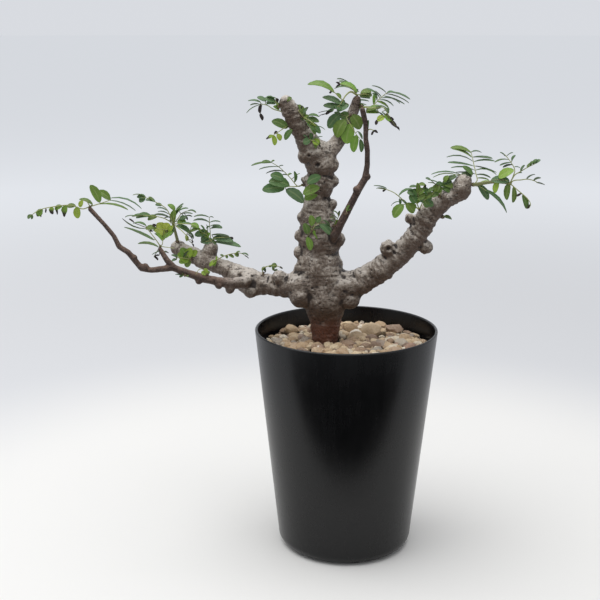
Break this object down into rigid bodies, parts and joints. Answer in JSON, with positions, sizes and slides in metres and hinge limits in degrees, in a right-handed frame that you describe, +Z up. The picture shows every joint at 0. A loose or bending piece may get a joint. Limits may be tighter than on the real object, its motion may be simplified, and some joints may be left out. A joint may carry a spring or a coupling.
{
  "type": "potted senna",
  "caption": "Thick-stemmed senna grown as a bonsai, with knobbly spreading boughs and small feathery leaves, in a tall tapering black nursery pot topped with grit.",
  "frame": {"origin": "middle of the pot's underside, in the plane that the pot stands on", "axes": "+Z up; +X towards the thick right bough, with the long thin branch towards -X; -Y towards the front of the plant"},
  "size_m": [0.2857, 0.1052, 0.2722],
  "materials": {
    "black_plastic": "moulded, semi-gloss",
    "potting_mix": "crumbly, matt",
    "grit_stone": "dry, matt",
    "bark": "wrinkled grey-brown bark",
    "leaf": "satin"
  },
  "bodies": {
    "root": {"pot": "black_plastic", "potting_mix": "potting_mix", "grit": "grit_stone", "wood": "bark", "leaves_long_twig_tip": "leaf", "leaves_left_bough_end": "leaf", "leaves_left_stub": "leaf", "leaves_side_shoot": "leaf", "leaves_left_bough_mid": "leaf", "leaves_left_bough_back": "leaf", "leaves_front_branch": "leaf", "leaves_front_branch_low": "leaf", "leaves_left_bough_top": "leaf", "leaves_crown_left_tip": "leaf", "leaves_crown_left_low": "leaf", "leaves_crown_side": "leaf", "leaves_crown_inner": "leaf", "leaves_crown_right_tip": "leaf", "leaves_crown_right_front": "leaf", "leaves_upright_twig_tip": "leaf", "leaves_trunk_left": "leaf", "leaves_trunk_face": "leaf", "leaves_trunk_front": "leaf", "leaves_trunk_right": "leaf", "leaves_upright_twig_low": "leaf", "leaves_right_bough_mid": "leaf", "leaves_right_bough_upper": "leaf", "leaves_right_bough_end": "leaf", "leaves_right_bough_under": "leaf"}
  },
  "joints": []
}
